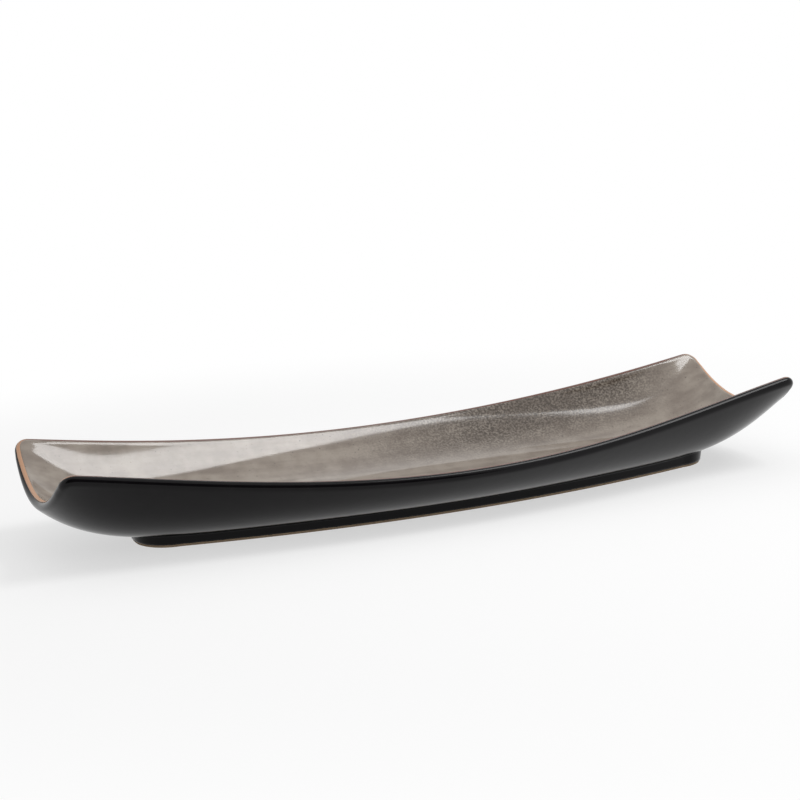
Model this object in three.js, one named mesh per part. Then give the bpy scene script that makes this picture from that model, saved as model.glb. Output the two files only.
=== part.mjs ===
// Long boat-shaped appetizer plate in glazed stoneware, standing on an oblong foot ring.
// Millimetres, +Z up, X along the length. The origin is on the table, under the plate's middle.

import * as THREE from "three";

// The trough, measured on its clay
const plateLength = 392;
const endBow = 1.5;
const midWidth = 130;
const endWidth = 96;
const rimCornerRadius = 4;
const wallThickness = 4.2;

// Heights above the table
const rimMidHeight = 27;
const rimEndHeight = 48;
const endDip = 21.5;
const footHeight = 4;

// How the section changes from a flat-floored trough at the middle to an open U at the ends
const midSectionPower = 4;
const endSectionPower = 2.1;
const floorRisePower = 9;

// The foot ring, set a little towards the right end
const footLength = 319;
const footOffset = 5.5;
const footMidWidth = 74;
const footEndWidth = 40;
const footCornerRadius = 18;
const footRingWidth = 6;
const footEdgeChamfer = 0.8;

// Glaze
const glazeThickness = 0.6;
const bareFootHeight = 1.6;

// How finely the surfaces are divided
const stepsAlongEnd = 3;
const stepsRoundCorner = 4;
const stepsAlongSide = 6;
const stepsAcrossLip = 8;
const wallRings = [0.3, 0.58, 0.8, 0.92, 1];
const floorRings = [1 / 3, 2 / 3, 1];

// On the lip, the grey glaze stops after the first step and the black one starts after the third
const greyStopsAtLipStep = 1;
const blackStartsAtLipStep = 3;

const halfLength = plateLength / 2;
const floorMidHeight = footHeight + wallThickness;
const floorEndHeight = rimEndHeight - endDip;

// Half width of the rim at a share s of the half length; the sides run parallel close to the ends
function rimHalfWidth(s) {
  const narrowing = (midWidth - endWidth) / 2;
  return midWidth / 2 - narrowing * (1.94 * s ** 2 - 0.94 * s ** 4);
}

function rimHeight(s) {
  return rimMidHeight + (rimEndHeight - rimMidHeight) * (1.12 * s ** 2 - 0.12 * s ** 4);
}

function floorHeight(s) {
  return floorMidHeight + (floorEndHeight - floorMidHeight) * Math.abs(s) ** floorRisePower;
}

// Height of the trough's inner clay face at a place in plan
function innerHeight(x, y) {
  const s = x / halfLength;
  const t = Math.abs(y) / rimHalfWidth(s);
  const power = midSectionPower + (endSectionPower - midSectionPower) * s ** 2;
  return floorHeight(s) + (rimHeight(s) - floorHeight(s)) * t ** power;
}

function innerNormal(x, y) {
  const step = 0.05;
  const slopeX = (innerHeight(x + step, y) - innerHeight(x - step, y)) / (2 * step);
  const slopeY = (innerHeight(x, y + step) - innerHeight(x, y - step)) / (2 * step);
  return new THREE.Vector3(-slopeX, -slopeY, 1).normalize();
}

// One quarter of an oblong outline, from the middle of its end to just short of the middle of its side
function quarterOutline(endX, bow, sideY, endY, radius) {
  const points = [];
  for (let i = 0; i < stepsAlongEnd; i++) {
    const y = (endY - radius) * (i / stepsAlongEnd);
    points.push([endX + bow * (1 - (y / endY) ** 2), y]);
  }
  for (let i = 0; i < stepsRoundCorner; i++) {
    const angle = (Math.PI / 2) * (i / stepsRoundCorner);
    const x = endX - radius + radius * Math.cos(angle);
    points.push([x, endY - radius + radius * Math.sin(angle)]);
  }
  for (let i = 0; i < stepsAlongSide; i++) {
    const x = (endX - radius) * (1 - i / stepsAlongSide);
    points.push([x, sideY(x)]);
  }
  return points;
}

// The whole outline, anticlockwise from above
function outline(endX, bow, sideY, endY, radius) {
  const quarter = quarterOutline(endX, bow, sideY, endY, radius);
  const end = quarter[0];
  const middle = [0, sideY(0)];
  const back = [...quarter.slice(1)].reverse();
  return [
    ...quarter,
    middle,
    ...back.map(([x, y]) => [-x, y]),
    [-end[0], 0],
    ...quarter.slice(1).map(([x, y]) => [-x, -y]),
    [0, -middle[1]],
    ...back.map(([x, y]) => [x, -y]),
  ];
}

function rimOutline() {
  const sideY = (x) => rimHalfWidth(x / halfLength);
  return outline(halfLength, endBow, sideY, endWidth / 2, rimCornerRadius);
}

// The foot ring's outline, drawn in by an inset
function footOutline(inset) {
  const endX = footLength / 2 - inset;
  const endY = footEndWidth / 2 - inset;
  const midY = footMidWidth / 2 - inset;
  const radius = footCornerRadius - inset;
  const sideY = (x) => midY - (midY - endY) * (x / (endX - radius)) ** 2;
  return outline(endX, 0, sideY, endY, radius).map(([x, y]) => [x + footOffset, y]);
}

function scaled(plan, share) {
  return plan.map(([x, y]) => [x * share, y * share]);
}

function between(planA, planB, share) {
  return planA.map(([x, y], i) => [x + (planB[i][0] - x) * share, y + (planB[i][1] - y) * share]);
}

const rimPlan = rimOutline();
const footOuterPlan = footOutline(0);
const footInnerPlan = footOutline(footRingWidth);

const insideFoot = floorRings.map((share) => scaled(footInnerPlan, share));
const outsideFoot = wallRings.map((share) => between(footOuterPlan, rimPlan, share));

function innerFace(plan) {
  return plan.map(([x, y]) => new THREE.Vector3(x, y, innerHeight(x, y)));
}

// The outer face lies one wall thickness from the inner face, measured square to it
function outerFace(plan) {
  return innerFace(plan).map((p) => p.addScaledVector(innerNormal(p.x, p.y), -wallThickness));
}

function levelRing(plan, z) {
  return plan.map(([x, y]) => new THREE.Vector3(x, y, z));
}

// The rounded lip, as rings from just past the inner face's edge to just short of the outer face's
function lipRings() {
  const inner = innerFace(rimPlan);
  const rings = [];
  for (let i = 1; i < stepsAcrossLip; i++) {
    const angle = (Math.PI * i) / stepsAcrossLip;
    rings.push(
      inner.map((p, j) => {
        const next = inner[(j + 1) % inner.length];
        const last = inner[(j + inner.length - 1) % inner.length];
        const up = innerNormal(p.x, p.y);
        const along = next.clone().sub(last);
        const outward = along.cross(up).normalize();
        const radius = wallThickness / 2;
        return p
          .clone()
          .addScaledVector(up, radius * (Math.cos(angle) - 1))
          .addScaledVector(outward, radius * Math.sin(angle));
      }),
    );
  }
  return rings;
}

const floorCentre = [new THREE.Vector3(0, 0, floorMidHeight)];
const undersideCentre = [new THREE.Vector3(0, 0, footHeight)];

const lip = lipRings();
const insideRings = [
  floorCentre,
  ...insideFoot.map(innerFace),
  innerFace(footOuterPlan),
  ...outsideFoot.map(innerFace),
];
const outsideRings = [...[...outsideFoot].reverse().map(outerFace), outerFace(footOuterPlan)];
const undersideRings = [...[...insideFoot].reverse().map(outerFace), undersideCentre];

const footOuterWall = levelRing(footOuterPlan, bareFootHeight);
const footInnerWall = levelRing(footInnerPlan, bareFootHeight);

// Joins rings of points into one closed body. The rings run outwards over the top and back
// underneath, and a ring of one point closes an end; without one, the last ring meets the first.
// Each four-sided patch is split along its shorter diagonal, so two bodies that share it match.
function solidFromRings(rings) {
  const positions = [];
  const triangle = (a, b, c) => positions.push(...a.toArray(), ...b.toArray(), ...c.toArray());
  const joinRings = (a, b) => {
    const count = Math.max(a.length, b.length);
    for (let j = 0; j < count; j++) {
      const k = (j + 1) % count;
      if (a.length === 1) {
        triangle(a[0], b[j], b[k]);
      } else if (b.length === 1) {
        triangle(a[j], b[0], a[k]);
      } else if (a[j].distanceToSquared(b[k]) < b[j].distanceToSquared(a[k])) {
        triangle(a[j], b[j], b[k]);
        triangle(a[j], b[k], a[k]);
      } else {
        triangle(a[j], b[j], a[k]);
        triangle(b[j], b[k], a[k]);
      }
    }
  };
  for (let i = 1; i < rings.length; i++) joinRings(rings[i - 1], rings[i]);
  if (rings[0].length > 1) joinRings(rings[rings.length - 1], rings[0]);
  const geometry = new THREE.BufferGeometry();
  geometry.setAttribute("position", new THREE.Float32BufferAttribute(positions, 3));
  geometry.computeVertexNormals();
  return geometry;
}

// The glaze's outer face over a run of clay rings. In a fold it stands off along the middle
// direction, far enough to keep its thickness on both sides.
function glazeFace(rings) {
  return rings.map((ring, i) => {
    if (ring.length === 1) {
      const up = i === 0 ? 1 : -1;
      return [ring[0].clone().add(new THREE.Vector3(0, 0, up * glazeThickness))];
    }
    const before = rings[i - 1];
    const after = rings[i + 1];
    return ring.map((p, j) => {
      const next = ring[(j + 1) % ring.length];
      const last = ring[(j + ring.length - 1) % ring.length];
      const along = next.clone().sub(last);
      const steps = [];
      if (before) steps.push(p.clone().sub(before[j % before.length]).normalize());
      if (after) steps.push(after[j % after.length].clone().sub(p).normalize());
      const across = steps.reduce((sum, step) => sum.clone().add(step));
      const thickness = (glazeThickness * steps.length) / across.length();
      return p.clone().addScaledVector(across.cross(along).normalize(), thickness);
    });
  });
}

// A coat between two rings of a glazed run, lying face to face on the clay
function glazeCoat(clay, face, first, last) {
  const over = face.slice(first, last + 1);
  const under = clay.slice(first, last + 1).reverse();
  return solidFromRings([...over, ...under]);
}

const glazedRun = [...insideRings, ...lip, ...outsideRings, footOuterWall];
const glazedFace = glazeFace(glazedRun);
const rimRing = insideRings.length - 1;
const greyEnd = rimRing + greyStopsAtLipStep;
const blackStart = rimRing + blackStartsAtLipStep;

const wellRun = [footInnerWall, ...undersideRings];
const wellFace = glazeFace(wellRun);

function bodyGeometry() {
  return solidFromRings([...insideRings, ...lip, ...outsideRings, ...undersideRings]);
}

function footRingGeometry() {
  const outerTop = outerFace(footOuterPlan);
  const innerTop = outerFace(footInnerPlan);
  const outerBase = footOutline(footEdgeChamfer);
  const innerBase = footOutline(footRingWidth - footEdgeChamfer);
  return solidFromRings([
    outerTop,
    footOuterWall,
    levelRing(footOuterPlan, footEdgeChamfer),
    levelRing(outerBase, 0),
    levelRing(innerBase, 0),
    levelRing(footInnerPlan, footEdgeChamfer),
    footInnerWall,
    innerTop,
  ]);
}

function sheen(color, roughness) {
  return new THREE.MeshStandardMaterial({ color, roughness, metalness: 0 });
}

function piece(name, geometry, material) {
  const mesh = new THREE.Mesh(geometry, material);
  mesh.name = name;
  return mesh;
}

const plate = new THREE.Group();
plate.add(
  piece("stoneware_body", bodyGeometry(), sheen(0xb8a690, 0.85)),
  piece("foot_ring", footRingGeometry(), sheen(0xc4ad92, 0.85)),
  piece("grey_inner_glaze", glazeCoat(glazedRun, glazedFace, 0, greyEnd), sheen(0xa9a295, 0.3)),
  piece(
    "rim_glaze_line",
    glazeCoat(glazedRun, glazedFace, greyEnd, blackStart),
    sheen(0x6a4030, 0.4),
  ),
  piece(
    "black_outer_glaze",
    glazeCoat(glazedRun, glazedFace, blackStart, glazedRun.length - 1),
    sheen(0x121113, 0.25),
  ),
  piece(
    "foot_well_glaze",
    glazeCoat(wellRun, wellFace, 0, wellRun.length - 1),
    sheen(0x121113, 0.3),
  ),
);

export default plate;
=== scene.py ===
import math
import bmesh
import bpy
from mathutils import Matrix, Vector


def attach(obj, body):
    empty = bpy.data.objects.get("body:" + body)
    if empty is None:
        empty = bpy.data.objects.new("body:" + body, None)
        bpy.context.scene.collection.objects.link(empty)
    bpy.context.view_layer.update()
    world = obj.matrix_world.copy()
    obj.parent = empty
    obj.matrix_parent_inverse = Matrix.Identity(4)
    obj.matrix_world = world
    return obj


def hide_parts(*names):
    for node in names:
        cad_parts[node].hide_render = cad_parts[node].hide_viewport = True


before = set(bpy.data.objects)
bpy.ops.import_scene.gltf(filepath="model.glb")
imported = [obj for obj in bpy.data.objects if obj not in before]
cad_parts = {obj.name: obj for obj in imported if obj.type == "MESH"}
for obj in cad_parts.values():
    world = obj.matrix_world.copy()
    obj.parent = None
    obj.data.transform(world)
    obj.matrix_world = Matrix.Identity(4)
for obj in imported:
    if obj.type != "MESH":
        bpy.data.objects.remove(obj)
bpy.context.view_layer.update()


# the plate's own sizes, in metres, measured on its clay

trough = {
    "length": 0.392,
    "endBow": 0.0015,
    "midWidth": 0.130,
    "endWidth": 0.096,
    "cornerRadius": 0.004,
    "wall": 0.0042,
    "rimMid": 0.027,
    "rimEnd": 0.048,
    "endDip": 0.0215,
    "midPower": 4.0,  # flat floor with steep sides at the middle
    "endPower": 2.1,  # open U at the ends
    "risePower": 9,
    "narrowCurve": 0.94,  # how soon the sides draw in towards the ends
    "sweepCurve": 0.12,  # how late the ends sweep up
}

foot = {
    "height": 0.0040,
    "length": 0.319,
    "offset": 0.0055,  # the ring sits a little towards the right end
    "midWidth": 0.074,
    "endWidth": 0.040,
    "cornerRadius": 0.018,
    "ring": 0.006,
    "chamfer": 0.0008,
    "bare": 0.0016,  # unglazed strip above the table
}

glaze = {
    "thickness": 0.0006,
    "greyStop": 0.125,  # share of the way over the lip where the grey coat ends
    "blackStart": 0.375,
}

fineness = {
    "alongEnd": 14,
    "roundCorner": 10,
    "alongSide": 60,
    "acrossFloor": 20,
    "acrossWall": 34,
    "acrossLip": 16,
    "downFoot": 6,
    "wallSpread": 0.85,  # rings lie closer together towards the rim
    "slopeStep": 0.00005,
    "weld": 1e-7,
}

halfLength = trough["length"] / 2
floorMid = foot["height"] + trough["wall"]
floorEnd = trough["rimEnd"] - trough["endDip"]


def rimHalfWidth(s):
    narrowing = (trough["midWidth"] - trough["endWidth"]) / 2
    curve = trough["narrowCurve"]
    return trough["midWidth"] / 2 - narrowing * ((1 + curve) * s**2 - curve * s**4)


def rimHeight(s):
    curve = trough["sweepCurve"]
    return trough["rimMid"] + (trough["rimEnd"] - trough["rimMid"]) * ((1 + curve) * s**2 - curve * s**4)


def floorHeight(s):
    return floorMid + (floorEnd - floorMid) * abs(s) ** trough["risePower"]


def innerHeight(x, y):
    s = x / halfLength
    t = abs(y) / rimHalfWidth(s)
    power = trough["midPower"] + (trough["endPower"] - trough["midPower"]) * s**2
    return floorHeight(s) + (rimHeight(s) - floorHeight(s)) * t**power


def innerNormal(x, y):
    h = fineness["slopeStep"]
    slopeX = (innerHeight(x + h, y) - innerHeight(x - h, y)) / (2 * h)
    slopeY = (innerHeight(x, y + h) - innerHeight(x, y - h)) / (2 * h)
    return Vector((-slopeX, -slopeY, 1)).normalized()


# outlines seen from above, anticlockwise

def oblong(endX, bow, sideY, endY, radius):
    quarter = []
    for i in range(fineness["alongEnd"]):
        y = (endY - radius) * i / fineness["alongEnd"]
        quarter.append((endX + bow * (1 - (y / endY) ** 2), y))
    for i in range(fineness["roundCorner"]):
        a = math.pi / 2 * i / fineness["roundCorner"]
        quarter.append((endX - radius * (1 - math.cos(a)), endY - radius * (1 - math.sin(a))))
    for i in range(fineness["alongSide"]):
        x = (endX - radius) * (1 - i / fineness["alongSide"])
        quarter.append((x, sideY(x)))
    quarter.append((0, sideY(0)))
    leftBack = [(-x, y) for x, y in reversed(quarter[:-1])]
    leftFront = [(-x, -y) for x, y in quarter[1:]]
    rightFront = [(x, -y) for x, y in reversed(quarter[1:-1])]
    return quarter + leftBack + leftFront + rightFront


def footOutline(inset):
    endX = foot["length"] / 2 - inset
    endY = foot["endWidth"] / 2 - inset
    midY = foot["midWidth"] / 2 - inset
    radius = foot["cornerRadius"] - inset
    plan = oblong(endX, 0, lambda x: midY - (midY - endY) * (x / (endX - radius)) ** 2, endY, radius)
    return [(x + foot["offset"], y) for x, y in plan]


def blendPlans(a, b, share):
    return [(p[0] + (q[0] - p[0]) * share, p[1] + (q[1] - p[1]) * share) for p, q in zip(a, b)]


rimPlan = oblong(halfLength, trough["endBow"], lambda x: rimHalfWidth(x / halfLength),
                 trough["endWidth"] / 2, trough["cornerRadius"])
footOuterPlan = footOutline(0)
footInnerPlan = footOutline(foot["ring"])
around = len(rimPlan)
centrePlan = [(0, 0)] * around

floorPlans = [blendPlans(centrePlan, footInnerPlan, i / fineness["acrossFloor"])
              for i in range(1, fineness["acrossFloor"] + 1)]
wallPlans = [blendPlans(footOuterPlan, rimPlan, (i / fineness["acrossWall"]) ** fineness["wallSpread"])
             for i in range(1, fineness["acrossWall"] + 1)]


# rings of points on the clay

def innerFace(plan):
    return [Vector((x, y, innerHeight(x, y))) for x, y in plan]


def outerFace(plan):
    return [p - innerNormal(p.x, p.y) * trough["wall"] for p in innerFace(plan)]


def levelRing(plan, z):
    return [Vector((x, y, z)) for x, y in plan]


def lipRing(share):
    inner = innerFace(rimPlan)
    radius = trough["wall"] / 2
    angle = math.pi * share
    ring = []
    for j, p in enumerate(inner):
        up = innerNormal(p.x, p.y)
        outward = (inner[(j + 1) % around] - inner[j - 1]).cross(up).normalized()
        ring.append(p + up * radius * (math.cos(angle) - 1) + outward * radius * math.sin(angle))
    return ring


def footWall(plan, top, base):
    steps = fineness["downFoot"]
    bottom = levelRing(plan, base)
    return [[t.lerp(b, i / steps) for t, b in zip(top, bottom)] for i in range(1, steps + 1)]


lipShares = [i / fineness["acrossLip"] for i in range(1, fineness["acrossLip"])]
insideRings = [innerFace(p) for p in floorPlans + [footOuterPlan] + wallPlans]
lipRings = [lipRing(share) for share in lipShares]
outsideRings = [outerFace(p) for p in reversed(wallPlans)] + [outerFace(footOuterPlan)]
undersideRings = [outerFace(p) for p in reversed(floorPlans)]
footOuterRings = footWall(footOuterPlan, outsideRings[-1], foot["bare"])
footInnerRings = footWall(footInnerPlan, undersideRings[0], foot["bare"])

glazedRun = insideRings + lipRings + outsideRings + footOuterRings
wellRun = list(reversed(footInnerRings)) + undersideRings
rimRing = len(insideRings) - 1
greyEnd = rimRing + round(glaze["greyStop"] * fineness["acrossLip"])
blackStart = rimRing + round(glaze["blackStart"] * fineness["acrossLip"])


def glazeFace(rings):
    face = []
    for i, ring in enumerate(rings):
        before = rings[i - 1] if i else None
        after = rings[i + 1] if i + 1 < len(rings) else None
        row = []
        for j, p in enumerate(ring):
            steps = []
            if before:
                steps.append((p - before[j]).normalized())
            if after:
                steps.append((after[j] - p).normalized())
            across = sum(steps, Vector())
            normal = across.cross(ring[(j + 1) % around] - ring[j - 1]).normalized()
            row.append(p + normal * glaze["thickness"] * len(steps) / max(across.length, 0.5))
        face.append(row)
    return face


glazedFace = glazeFace(glazedRun)
wellFace = glazeFace(wellRun)
print("rings laid out:", len(glazedRun) + len(wellRun))


# making a piece by raising it ring after ring

def raisePiece(name, rings, startPole=None, endPole=None):
    bm = bmesh.new()
    place = bm.verts.layers.int.new("place")
    capped = startPole is not None
    bmesh.ops.create_circle(bm, cap_ends=capped, cap_tris=capped, segments=around, radius=1)
    bm.verts.ensure_lookup_table()
    rim = [v for v in bm.verts if v.co.length > 0.5]
    rim.sort(key=lambda v: math.atan2(v.co.y, v.co.x) % (2 * math.pi))
    for v in bm.verts:
        if v.co.length <= 0.5:
            v.co = startPole
    for j, v in enumerate(rim):
        v[place] = j
        v.co = rings[0][j]
    rimSet = set(rim)
    edges = [e for e in bm.edges if rimSet.issuperset(e.verts)]
    walk = rings[1:] if capped else rings[1:] + rings[:1]
    for ring in walk:
        made = bmesh.ops.extrude_edge_only(bm, edges=edges)["geom"]
        edges = [g for g in made if isinstance(g, bmesh.types.BMEdge)]
        last = [g for g in made if isinstance(g, bmesh.types.BMVert)]
        for v in last:
            v.co = ring[v[place]]
    if endPole is not None:
        bmesh.ops.extrude_edge_only(bm, edges=edges)
        bm.verts.ensure_lookup_table()
        tip = [v for v in bm.verts if v.is_boundary][-around:]
        bmesh.ops.pointmerge(bm, verts=tip, merge_co=endPole)
    else:
        bmesh.ops.remove_doubles(bm, verts=rim + last, dist=fineness["weld"])
    bmesh.ops.recalc_face_normals(bm, faces=bm.faces)
    for f in bm.faces:
        f.smooth = True
    mesh = bpy.data.meshes.new(name)
    bm.to_mesh(mesh)
    loose = sum(1 for e in bm.edges if not e.is_manifold)
    print(name, "faces", len(bm.faces), "open edges", loose)
    bm.free()
    piece = bpy.data.objects.new(name, mesh)
    bpy.context.scene.collection.objects.link(piece)
    return piece


def coat(name, clay, face, first, last, pole=None, poleFace=None):
    over = face[first:last + 1]
    under = list(reversed(clay[first:last + 1]))
    return raisePiece(name, over + under, startPole=poleFace, endPole=pole)


# materials

def linear(hexColour):
    channels = [int(hexColour[i:i + 2], 16) / 255 for i in (1, 3, 5)]
    return [c / 12.92 if c <= 0.04045 else ((c + 0.055) / 1.055) ** 2.4 for c in channels] + [1]


def newMaterial(name):
    material = bpy.data.materials.new(name)
    material.use_nodes = True
    nodes = material.node_tree.nodes
    return material, material.node_tree, nodes["Principled BSDF"]


def addNode(tree, kind, settings=None, links=None):
    node = tree.nodes.new(kind)
    for key, value in (settings or {}).items():
        if isinstance(key, str) and key[0].islower():
            setattr(node, key, value)
        else:
            node.inputs[key].default_value = value
    for key, source in (links or {}).items():
        tree.links.new(source, node.inputs[key])
    return node


greyLook = {
    "base": "#82776d",
    "pale": "#9a9085",
    # colour of the painted shade on the upper back wall
    "paintedShade": "#4d443c",
    "speck": "#3c342d",
    "roughness": 0.09,
    "refraction": 1.5,
    "grainSize": 0.0011,
    "mottleSize": 0.010,
    "streakLength": 0.120,
    "streakWidth": 0.007,
    # where the painted shade lies on the back wall
    "paintedShadeEdges": (("Y", 0.026, 0.048), ("X", -0.03, 0.06), ("X", 0.190, 0.150)),  # axis, none, full
    "ripple": 0.0003,
}


def greyReactiveGlaze():
    # stoneware glaze melted on: a clear gloss over iron specks, with painted shade darkening the upper back
    # wall towards the right
    material, tree, shader = newMaterial("greyReactiveGlaze")
    coords = addNode(tree, "ShaderNodeTexCoord").outputs["Object"]
    parts = addNode(tree, "ShaderNodeSeparateXYZ", links={0: coords})
    along, across = 1 / greyLook["streakLength"], 1 / greyLook["streakWidth"]
    mottle = addNode(tree, "ShaderNodeTexNoise", {"Scale": 1 / greyLook["mottleSize"], "Detail": 4.0},
                     {"Vector": coords})
    drawn = addNode(tree, "ShaderNodeMapping", {"Scale": (along, across, across)}, {"Vector": coords})
    streaks = addNode(tree, "ShaderNodeTexNoise", {"Scale": 1.0, "Detail": 3.0}, {"Vector": drawn.outputs[0]})
    both = addNode(tree, "ShaderNodeMath", {"operation": "ADD"},
                   {0: mottle.outputs["Fac"], 1: streaks.outputs["Fac"]})
    share = addNode(tree, "ShaderNodeMapRange", {"From Min": 0.8, "From Max": 1.2},
                    {"Value": both.outputs[0]})
    cloud = addNode(tree, "ShaderNodeMix",
                    {"data_type": "RGBA", 6: linear(greyLook["base"]), 7: linear(greyLook["pale"])},
                    {"Factor": share.outputs[0]})
    # painted shade: the dark band high on the back wall, towards the right, faded in from three sides
    paintedShadeBand = None
    for axis, none, full in greyLook["paintedShadeEdges"]:
        fade = addNode(tree, "ShaderNodeMapRange", {"From Min": none, "From Max": full},
                       {"Value": parts.outputs[axis]}).outputs[0]
        if paintedShadeBand is None:
            paintedShadeBand = fade
        else:
            paintedShadeBand = addNode(tree, "ShaderNodeMath", {"operation": "MULTIPLY"}, {0: paintedShadeBand, 1: fade}).outputs[0]
    grain = addNode(tree, "ShaderNodeTexNoise", {"Scale": 1 / greyLook["grainSize"], "Detail": 3.0},
                    {"Vector": coords})
    coarse = addNode(tree, "ShaderNodeMapRange", {"From Min": 0.36, "From Max": 0.58, "To Min": 0.25},
                     {"Value": grain.outputs["Fac"]})
    shade = addNode(tree, "ShaderNodeMath", {"operation": "MULTIPLY"}, {0: paintedShadeBand, 1: coarse.outputs[0]})
    # the painted shade is mixed into the glaze colour here
    paintedShade = addNode(tree, "ShaderNodeMix", {"data_type": "RGBA", 7: linear(greyLook["paintedShade"])},
                   {"Factor": shade.outputs[0], 6: cloud.outputs[2]})
    # scattered iron specks of uneven shape
    dots = addNode(tree, "ShaderNodeMapRange", {"From Min": 0.66, "From Max": 0.74, "To Max": 0.6},
                   {"Value": grain.outputs["Fac"]})
    specked = addNode(tree, "ShaderNodeMix", {"data_type": "RGBA", 7: linear(greyLook["speck"])},
                      {"Factor": dots.outputs[0], 6: paintedShade.outputs[2]})
    tree.links.new(specked.outputs[2], shader.inputs["Base Color"])
    bump = addNode(tree, "ShaderNodeBump", {"Strength": 0.1, "Distance": greyLook["ripple"]},
                   {"Height": streaks.outputs["Fac"]})
    tree.links.new(bump.outputs[0], shader.inputs["Normal"])
    shader.inputs["Roughness"].default_value = greyLook["roughness"]
    shader.inputs["IOR"].default_value = greyLook["refraction"]
    return material


rimLook = {
    "side": "#643b2c",
    "end": "#bf9373",
    "roughness": 0.35,
    "turnStart": 0.190,  # distance from the middle where the brown turns to tan
    "turnEnd": 0.198,
}


def ironRimGlaze():
    # where the two coats thin out over the lip the iron in the clay shows red-brown, tan at the ends
    material, tree, shader = newMaterial("ironRimGlaze")
    coords = addNode(tree, "ShaderNodeTexCoord").outputs["Object"]
    parts = addNode(tree, "ShaderNodeSeparateXYZ", links={0: coords})
    out = addNode(tree, "ShaderNodeMath", {"operation": "ABSOLUTE"}, {0: parts.outputs["X"]})
    share = addNode(tree, "ShaderNodeMapRange",
                    {"From Min": rimLook["turnStart"], "From Max": rimLook["turnEnd"]},
                    {"Value": out.outputs[0]})
    tint = addNode(tree, "ShaderNodeMix",
                   {"data_type": "RGBA", 6: linear(rimLook["side"]), 7: linear(rimLook["end"])},
                   {"Factor": share.outputs[0]})
    tree.links.new(tint.outputs[2], shader.inputs["Base Color"])
    shader.inputs["Roughness"].default_value = rimLook["roughness"]
    return material


blackLook = {
    "deep": "#060506",
    "thin": "#100e10",
    "roughness": 0.14,
    "specular": 0.2,
    "refraction": 1.42,
    "rippleSize": 0.006,
    "rippleDepth": 0.0003,
}


def blackGlossGlaze():
    # iron-black glaze: a deep, glassy gloss with a slightly uneven surface
    material, tree, shader = newMaterial("blackGlossGlaze")
    coords = addNode(tree, "ShaderNodeTexCoord").outputs["Object"]
    ripple = addNode(tree, "ShaderNodeTexNoise", {"Scale": 1 / blackLook["rippleSize"], "Detail": 2.0},
                     {"Vector": coords})
    tone = addNode(tree, "ShaderNodeMix",
                   {"data_type": "RGBA", 6: linear(blackLook["deep"]), 7: linear(blackLook["thin"])},
                   {"Factor": ripple.outputs["Fac"]})
    tree.links.new(tone.outputs[2], shader.inputs["Base Color"])
    bump = addNode(tree, "ShaderNodeBump", {"Strength": 0.15, "Distance": blackLook["rippleDepth"]},
                   {"Height": ripple.outputs["Fac"]})
    tree.links.new(bump.outputs[0], shader.inputs["Normal"])
    shader.inputs["Roughness"].default_value = blackLook["roughness"]
    shader.inputs["Specular IOR Level"].default_value = blackLook["specular"]
    shader.inputs["IOR"].default_value = blackLook["refraction"]
    return material


bareLook = {
    "deep": "#8f7c68",
    "pale": "#cdb294",
    "roughness": 0.85,
    "sandSize": 0.0008,
    "sandDepth": 0.0003,
}


def bareStoneware():
    # fired clay with no glaze: matt, tan, with fine sand in it
    material, tree, shader = newMaterial("bareStoneware")
    coords = addNode(tree, "ShaderNodeTexCoord").outputs["Object"]
    sand = addNode(tree, "ShaderNodeTexNoise", {"Scale": 1 / bareLook["sandSize"], "Detail": 4.0},
                   {"Vector": coords})
    tone = addNode(tree, "ShaderNodeMix",
                   {"data_type": "RGBA", 6: linear(bareLook["deep"]), 7: linear(bareLook["pale"])},
                   {"Factor": sand.outputs["Fac"]})
    tree.links.new(tone.outputs[2], shader.inputs["Base Color"])
    bump = addNode(tree, "ShaderNodeBump", {"Strength": 0.3, "Distance": bareLook["sandDepth"]},
                   {"Height": sand.outputs["Fac"]})
    tree.links.new(bump.outputs[0], shader.inputs["Normal"])
    shader.inputs["Roughness"].default_value = bareLook["roughness"]
    return material


def finishPiece(piece, node, material):
    piece.data.materials.append(material)
    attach(piece, "root")
    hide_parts(node)


# the pieces

up = Vector((0, 0, 1))
floorCentre = Vector((0, 0, floorMid))
undersideCentre = Vector((0, 0, foot["height"]))
blackGlaze = blackGlossGlaze()
bareClay = bareStoneware()

clay = raisePiece("plateClay", insideRings + lipRings + outsideRings + undersideRings[:-1],
                  startPole=floorCentre, endPole=undersideCentre)
finishPiece(clay, "stoneware_body", bareClay)

worn = foot["chamfer"] * 0.3  # the chamfer is rounded through this point
treadSteps = (
    (0, foot["chamfer"]), (worn, worn), (foot["chamfer"], 0),
    (foot["ring"] - foot["chamfer"], 0), (foot["ring"] - worn, worn), (foot["ring"], foot["chamfer"]),
)
treadRings = [levelRing(footOutline(inset), z) for inset, z in treadSteps]
footRings = (
    [outsideRings[-1]] + footOuterRings + treadRings
    + list(reversed(footInnerRings)) + [undersideRings[0]]
)
footPiece = raisePiece("footRingClay", footRings)
finishPiece(footPiece, "foot_ring", bareClay)

glazeTop = floorCentre + up * glaze["thickness"]
grey = coat("greyGlazeInside", glazedRun, glazedFace, 0, greyEnd, floorCentre, glazeTop)
finishPiece(grey, "grey_inner_glaze", greyReactiveGlaze())

rimLine = coat("ironRimLine", glazedRun, glazedFace, greyEnd, blackStart)
finishPiece(rimLine, "rim_glaze_line", ironRimGlaze())

black = coat("blackGlazeOutside", glazedRun, glazedFace, blackStart, len(glazedRun) - 1)
finishPiece(black, "black_outer_glaze", blackGlaze)

wellUnder = undersideCentre - up * glaze["thickness"]
wellRings = list(reversed(wellFace[:-1])) + wellRun[:-1]
well = raisePiece("blackGlazeWell", wellRings, startPole=wellUnder, endPole=undersideCentre)
finishPiece(well, "foot_well_glaze", blackGlaze)
print("pieces made")


# camera: where the photograph was taken from

view = {
    "focalPixels": 1828.4,
    "azimuth": -23.26,
    "elevation": 10.51,
    "roll": -3.0,
    "distance": 0.95177,
    "shiftRight": 0.01148,
    "shiftUp": -0.05131,
    "photoPixels": 800,
    "sensor": 36,  # millimetres
    "clip": 0.01,
}


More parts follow.
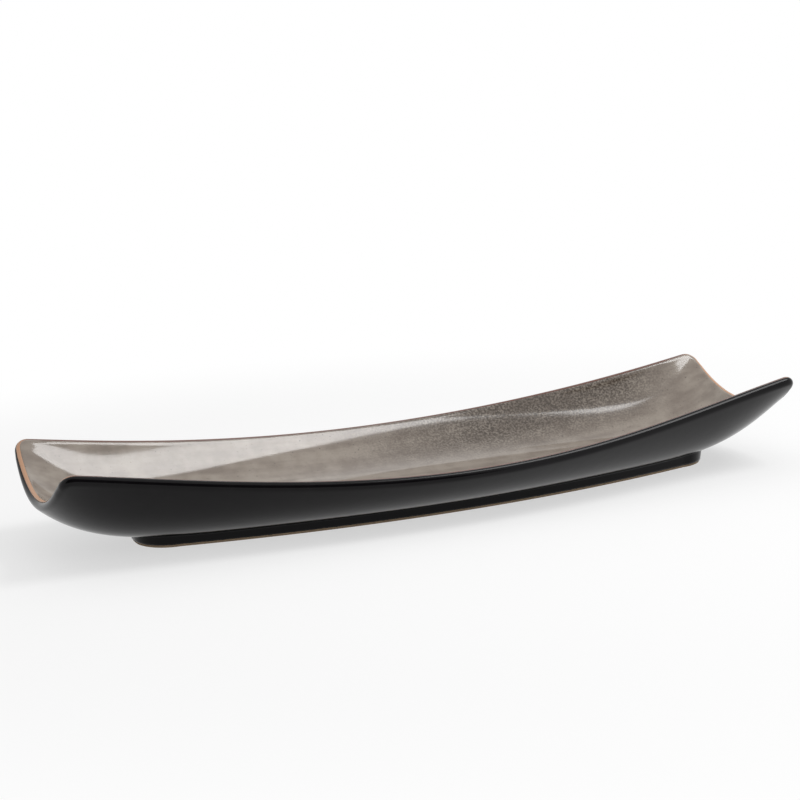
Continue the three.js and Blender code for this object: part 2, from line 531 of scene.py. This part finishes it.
def placeCamera():
    a, e, r = (math.radians(view[k]) for k in ("azimuth", "elevation", "roll"))
    back = Vector((math.sin(a) * math.cos(e), -math.cos(a) * math.cos(e), math.sin(e)))
    right = Vector((0, 0, 1)).cross(back).normalized()
    top = back.cross(right)
    xAxis = math.cos(r) * right + math.sin(r) * top
    yAxis = -math.sin(r) * right + math.cos(r) * top
    spot = back * view["distance"] - xAxis * view["shiftRight"] - yAxis * view["shiftUp"]
    data = bpy.data.cameras.new("camera")
    data.sensor_width = view["sensor"]
    data.lens = view["focalPixels"] / view["photoPixels"] * view["sensor"]
    data.clip_start = view["clip"]
    camera = bpy.data.objects.new("camera", data)
    camera.matrix_world = Matrix((
        (xAxis.x, yAxis.x, back.x, spot.x),
        (xAxis.y, yAxis.y, back.y, spot.y),
        (xAxis.z, yAxis.z, back.z, spot.z),
        (0, 0, 0, 1),
    ))
    bpy.context.scene.collection.objects.link(camera)
    bpy.context.scene.camera = camera


placeCamera()


# floor and studio light

studio = {
    "floorHalf": 6.0,
    "boxPower": 6.5,
    "boxSize": (0.42, 0.6),
    "boxSpot": (0.67, -0.34, 1.0),  # here the left of the back wall mirrors it
    "surround": 0.66,
    "shadowReach": 0.26,
    "paperLift": 0.58,  # share of plain white mixed into the paper under the plate
    "flagSize": (4.0, 2.6),
    "flagSpot": (-0.65, -1.5, 1.31),
}


def makeFloor():
    bm = bmesh.new()
    bmesh.ops.create_grid(bm, x_segments=1, y_segments=1, size=studio["floorHalf"])
    mesh = bpy.data.meshes.new("floor")
    bm.to_mesh(mesh)
    bm.free()
    floor = bpy.data.objects.new("floor", mesh)
    bpy.context.scene.collection.objects.link(floor)
    floor.data.materials.append(paperSweep())


def seenRays(tree):
    path = addNode(tree, "ShaderNodeLightPath")
    seen = addNode(tree, "ShaderNodeMath", {"operation": "MAXIMUM"},
                   {0: path.outputs["Is Camera Ray"], 1: path.outputs["Is Glossy Ray"]})
    return addNode(tree, "ShaderNodeMath", {"operation": "MAXIMUM"},
                   {0: seen.outputs[0], 1: path.outputs["Is Transmission Ray"]}).outputs[0]


def paperSweep():
    # white paper: it takes the plate's shadow, and away from the plate it is plain white
    material, tree, shader = newMaterial("paperSweep")
    shader.inputs["Base Color"].default_value = linear("#f8f8f8")
    shader.inputs["Roughness"].default_value = 0.9
    shader.inputs["Specular IOR Level"].default_value = 0.1
    coords = addNode(tree, "ShaderNodeTexCoord").outputs["Object"]
    away = addNode(tree, "ShaderNodeVectorMath", {"operation": "LENGTH"}, {0: coords})
    fade = addNode(tree, "ShaderNodeMapRange", {
        "interpolation_type": "SMOOTHSTEP",
        "From Min": studio["shadowReach"],
        "From Max": studio["shadowReach"] * 2,
        "To Min": studio["paperLift"],
    }, {"Value": away.outputs["Value"]})
    share = addNode(tree, "ShaderNodeMath", {"operation": "MULTIPLY"},
                    {0: fade.outputs[0], 1: seenRays(tree)})
    white = addNode(tree, "ShaderNodeEmission")
    mixed = addNode(tree, "ShaderNodeMixShader", None,
                    {0: share.outputs[0], 1: shader.outputs[0], 2: white.outputs[0]})
    tree.links.new(mixed.outputs[0], tree.nodes["Material Output"].inputs["Surface"])
    return material


def makeFlag():
    # a black card in front keeps the outside dark: only the gloss sees it
    bm = bmesh.new()
    bmesh.ops.create_grid(bm, x_segments=1, y_segments=1, size=0.5)
    bmesh.ops.scale(bm, vec=(*studio["flagSize"], 1), verts=bm.verts)
    upright = Matrix.Rotation(math.pi / 2, 3, "X")
    turned = Matrix.Rotation(math.radians(view["azimuth"]), 3, "Z")
    bmesh.ops.rotate(bm, cent=(0, 0, 0), matrix=turned @ upright, verts=bm.verts)
    bmesh.ops.translate(bm, vec=studio["flagSpot"], verts=bm.verts)
    mesh = bpy.data.meshes.new("flag")
    bm.to_mesh(mesh)
    bm.free()
    flag = bpy.data.objects.new("flag", mesh)
    bpy.context.scene.collection.objects.link(flag)
    material, tree, shader = newMaterial("blackCard")
    shader.inputs["Base Color"].default_value = linear("#050505")
    flag.data.materials.append(material)
    flag.visible_camera = False
    flag.visible_diffuse = False
    flag.visible_shadow = False


def areaLamp(name, size, power, spot, aim):
    data = bpy.data.lights.new(name, "AREA")
    data.shape = "RECTANGLE"
    data.size, data.size_y = size
    data.energy = power
    lamp = bpy.data.objects.new(name, data)
    lamp.location = spot
    lamp.rotation_euler = (Vector(aim) - Vector(spot)).to_track_quat("-Z", "Y").to_euler()
    bpy.context.scene.collection.objects.link(lamp)


def lightStudio():
    world = bpy.data.worlds.new("studio")
    world.use_nodes = True
    bpy.context.scene.world = world
    tree = world.node_tree
    background = tree.nodes["Background"]
    level = addNode(tree, "ShaderNodeMapRange", {"To Min": studio["surround"], "To Max": 1.0},
                    {"Value": seenRays(tree)})
    background.inputs["Color"].default_value = 1, 1, 1, 1
    tree.links.new(level.outputs[0], background.inputs["Strength"])
    areaLamp("softBox", studio["boxSize"], studio["boxPower"], studio["boxSpot"], (0, 0, 0))


makeFloor()
makeFlag()
lightStudio()
bpy.context.scene.view_settings.view_transform = "Standard"

print("studio ready")
